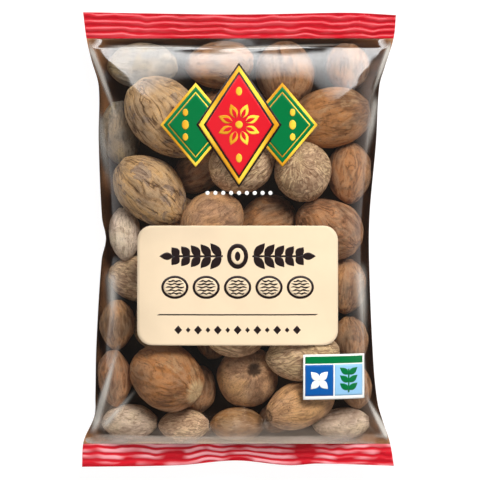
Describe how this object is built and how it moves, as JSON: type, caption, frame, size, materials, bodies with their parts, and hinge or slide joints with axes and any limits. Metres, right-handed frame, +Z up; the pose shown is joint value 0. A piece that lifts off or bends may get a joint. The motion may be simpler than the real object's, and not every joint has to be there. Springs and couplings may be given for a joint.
{
  "type": "clear pack of whole nutmeg",
  "caption": "Clear pillow pack filled with whole nutmegs, with crimped red end seals, a cream label with plain motifs and an ornament of three lozenges, lying on its back.",
  "frame": {"origin": "on the surface that the pack lies on, under the middle of its bounding box", "axes": "+X across the pack, to the right of the shown front; +Y along the pack to its top seal; +Z up, out of the shown front"},
  "size_m": [0.0942, 0.1364, 0.0337],
  "materials": {
    "filled_bag": "clear gloss film over brown nutmegs",
    "clear_film": "clear, glossy",
    "dark_film": "printed dark brown, glossy",
    "red_film": "printed red, crimped, glossy",
    "cream_print": "satin print",
    "dark_print": "satin print",
    "red_print": "glossy print",
    "gold_print": "glossy print with a light and dark gold shading",
    "green_print": "glossy print",
    "blue_print": "glossy print",
    "sky_print": "glossy print, light blue",
    "white_print": "satin print",
    "nutmeg": "dry, matt, with fine wavy furrows"
  },
  "bodies": {
    "root": {"bag": "filled_bag"}
  },
  "joints": []
}
